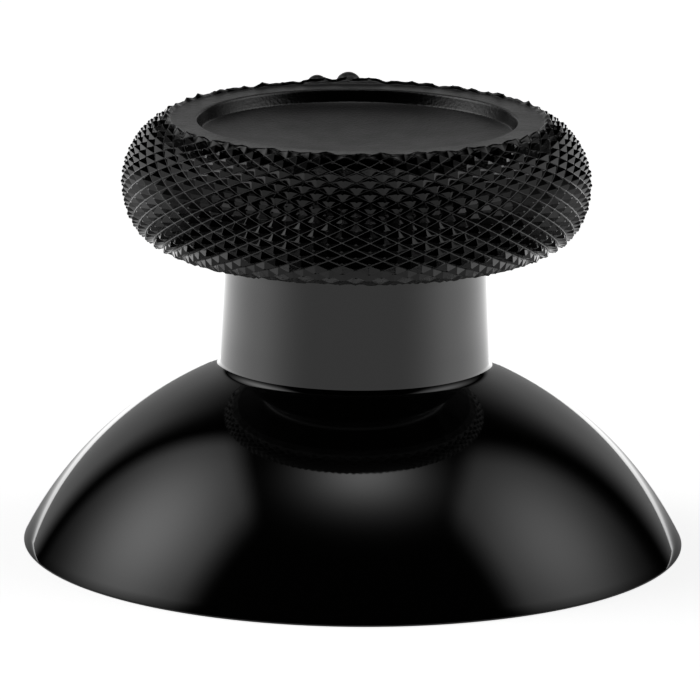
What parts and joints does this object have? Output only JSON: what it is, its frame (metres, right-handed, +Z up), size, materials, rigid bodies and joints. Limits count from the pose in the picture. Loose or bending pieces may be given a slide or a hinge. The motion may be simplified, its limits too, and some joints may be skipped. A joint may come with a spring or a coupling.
{
  "type": "thumbstick cap",
  "caption": "One-piece thumbstick cap with a domed skirt, a short neck and a knurled round head with a shallow dished top; pushed onto the lever of a controller's stick unit.",
  "frame": {"origin": "centre of the skirt's rim, on the plane that it stands on", "axes": "+Z up along the cap's own axis, -Y towards the viewer of the picture, the two nubs lie behind the dish at +Y"},
  "size_m": [0.0244, 0.0244, 0.0162],
  "materials": {
    "black_plastic": "moulded black plastic, gloss on skirt and neck, satin on the head"
  },
  "bodies": {
    "root": {"thumbstick_cap": "black_plastic"}
  },
  "joints": []
}
